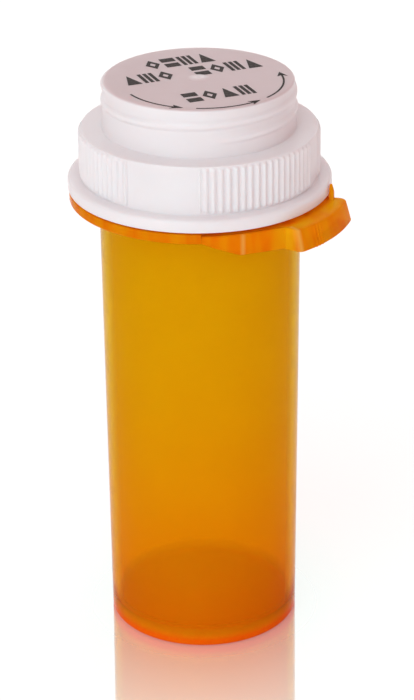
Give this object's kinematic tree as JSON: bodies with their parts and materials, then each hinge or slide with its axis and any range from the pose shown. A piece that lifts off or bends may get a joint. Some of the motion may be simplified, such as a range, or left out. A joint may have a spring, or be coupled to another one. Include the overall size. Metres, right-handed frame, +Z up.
{
  "type": "prescription vial",
  "caption": "Amber screw-top medicine vial with a spring locking tab on its collar and a white reversible cap with a ribbed skirt and a threaded boss.",
  "frame": {"origin": "centre of the flat base that the vial stands on", "axes": "+Z up along the vial's axis; the locking tab is on the +X, -Y side, and the front is -Y"},
  "size_m": [0.0464, 0.0434, 0.0977],
  "materials": {
    "amber_plastic": "clear amber moulded polypropylene, glossy",
    "white_plastic": "white moulded polypropylene, semi-gloss",
    "liner_foam": "soft foamed plastic, matt"
  },
  "bodies": {
    "vial": {"vial": "amber_plastic"},
    "tab": {"locking_tab": "amber_plastic"},
    "liner": {"sealing_liner": "liner_foam"},
    "cap": {"cap": "white_plastic"}
  },
  "joints": [
    {"name": "tab_press", "type": "hinge", "parent": "vial", "child": "tab", "pos_m": [0.00043, -0.019, 0.07801], "axis": [0, 1, 0], "range_deg": [0, 8], "stiffness_Nm_per_rad": 1.2},
    {"name": "cap_lift", "type": "slide", "parent": "vial", "child": "liner", "axis": [0, 0, 1], "range_m": [0, 0.0127]},
    {"name": "cap_turn", "type": "hinge", "parent": "liner", "child": "cap", "pos_m": [0, 0, 0.0791], "axis": [0, 0, 1], "range_deg": [0, 1440]}
  ],
  "couplings": [
    {"joint": "cap_turn", "follows": "cap_lift", "rad_per_m": 1963.5}
  ]
}
